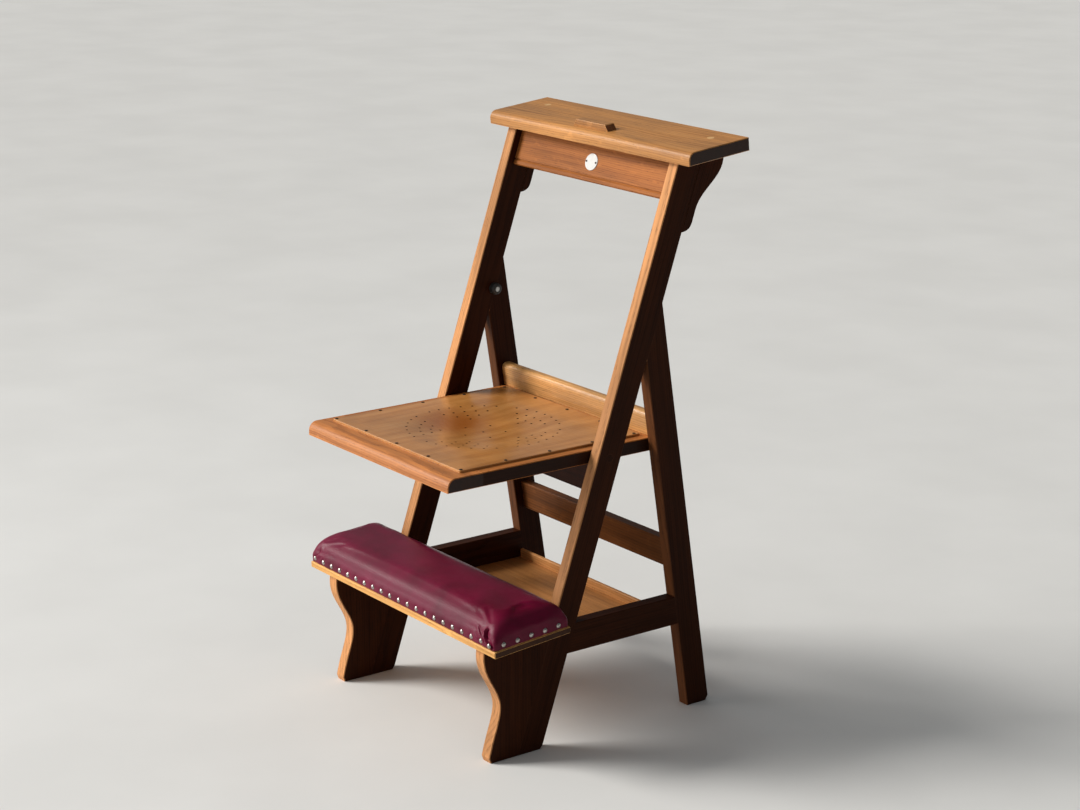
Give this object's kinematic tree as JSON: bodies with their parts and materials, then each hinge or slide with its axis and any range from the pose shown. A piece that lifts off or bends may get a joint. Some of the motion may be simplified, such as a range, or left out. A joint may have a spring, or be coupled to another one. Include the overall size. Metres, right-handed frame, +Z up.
{
  "type": "kneeler chair",
  "caption": "Wooden church kneeler with sloping top shelf, leaning frame, padded leather kneeling board and flip-up perforated seat.",
  "frame": {"origin": "on the floor, under the centre of the overall box", "axes": "+Z up, +X to the right of someone kneeling at the shelf, -Y towards the kneeling pad and the seat's front edge; left and right in the node names are that person's"},
  "size_m": [0.5038, 0.5056, 0.9008],
  "materials": {
    "oak_frame": "brown stained oak under worn satin varnish",
    "oak_shelf": "honey brown stained oak, satin varnish",
    "oak_light": "lighter oak, thin satin varnish",
    "oak_seat": "honey brown stained oak, satin varnish worn at the nose",
    "seat_plywood": "pressed and perforated plywood, glossy amber varnish",
    "plain_plywood": "plain plywood, nearly matt",
    "beech": "plain beech, glued joinery and the pad's base board",
    "burgundy_leather": "smooth burgundy leather, soft sheen, creased at the corners",
    "foam": "stuffing inside the kneeling pad",
    "white_enamel": "blank white enamel oval, glossy",
    "black_steel": "blackened steel nail and pin heads",
    "steel": "plain steel screws, nails, pins and washers",
    "nickel": "nickel-plated dome nails, a little tarnished",
    "brass": "turned brass bushes",
    "rubber": "black rubber, slightly dusty"
  },
  "bodies": {
    "frame": {"apron": "oak_shelf", "book_stop": "oak_shelf", "buffer_screws": "steel", "frame_dowels": "beech", "kneeler_board": "oak_light", "kneeler_board_screws": "steel", "left_foot_panel": "oak_frame", "left_pivot_pin": "steel", "left_pivot_plug": "oak_frame", "left_pivot_washer": "steel", "left_rail": "oak_frame", "left_rear_leg": "oak_frame", "left_seat_buffer": "rubber", "left_shelf_bracket": "oak_frame", "left_side_stretcher": "oak_frame", "mid_cross_rail": "oak_frame", "number_plate": "white_enamel", "number_plate_pins": "black_steel", "pad_board": "beech", "pad_cover": "burgundy_leather", "pad_foam": "foam", "pad_screws": "steel", "right_foot_panel": "oak_frame", "right_pivot_pin": "steel", "right_pivot_plug": "oak_frame", "right_pivot_washer": "steel", "right_rail": "oak_frame", "right_rear_leg": "oak_frame", "right_seat_buffer": "rubber", "right_shelf_bracket": "oak_frame", "right_side_stretcher": "oak_frame", "shelf_plugs": "oak_shelf", "shelf_screws": "steel", "storage_board": "plain_plywood", "storage_board_nails": "steel", "storage_lip": "oak_light", "top_shelf": "oak_shelf", "upholstery_nails": "nickel", "upper_cross_rail": "oak_light"},
    "seat": {"seat_bearer": "oak_frame", "seat_bearer_screws": "steel", "seat_dowels": "beech", "seat_front_rail": "oak_seat", "seat_left_rail": "oak_seat", "seat_panel": "seat_plywood", "seat_panel_nails": "black_steel", "seat_rear_rail": "oak_seat", "seat_right_rail": "oak_seat", "left_pivot_bush": "brass", "right_pivot_bush": "brass"}
  },
  "joints": [
    {"name": "seat_pivot", "type": "hinge", "parent": "frame", "child": "seat", "pos_m": [0, 0.02512, 0.4355], "axis": [-1, 0, 0], "range_deg": [0, 107.5]}
  ]
}
